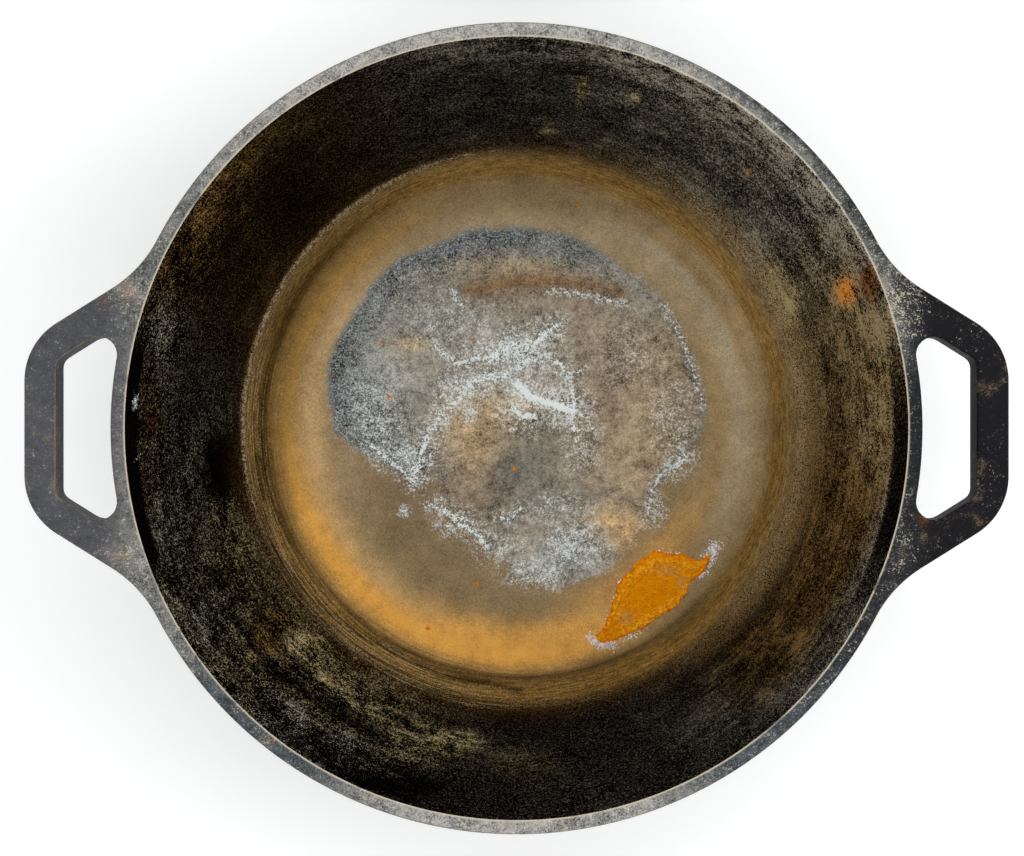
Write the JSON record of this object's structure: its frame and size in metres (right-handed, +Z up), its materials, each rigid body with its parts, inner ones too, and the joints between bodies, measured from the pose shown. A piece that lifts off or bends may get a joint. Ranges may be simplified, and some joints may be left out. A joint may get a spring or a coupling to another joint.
{
  "type": "dutch oven",
  "caption": "Deep round cast iron pot with flush loop handles running out of its rim, worn and rust-stained inside, and a loose domed lid with an arched handle.",
  "frame": {"origin": "centre of the pot's flat base, on the plane that the pot and the lid stand on", "axes": "+Z up along the pot's axis, X through both loop handles, +Y towards the lid that is set down behind the pot"},
  "size_m": [0.3332, 0.595, 0.1056],
  "materials": {
    "pot_iron": "black seasoned iron, rubbed bright at the rim, rusted and crusted on the inside floor",
    "lid_iron": "black seasoned iron, dull, rubbed at the edges"
  },
  "bodies": {
    "pot": {"pot": "pot_iron"},
    "lid": {"lid": "lid_iron"}
  },
  "joints": [
    {"name": "lid_lift", "type": "slide", "parent": "pot", "child": "lid", "axis": [0, 0, 1], "range_m": [0, 0.16]}
  ]
}
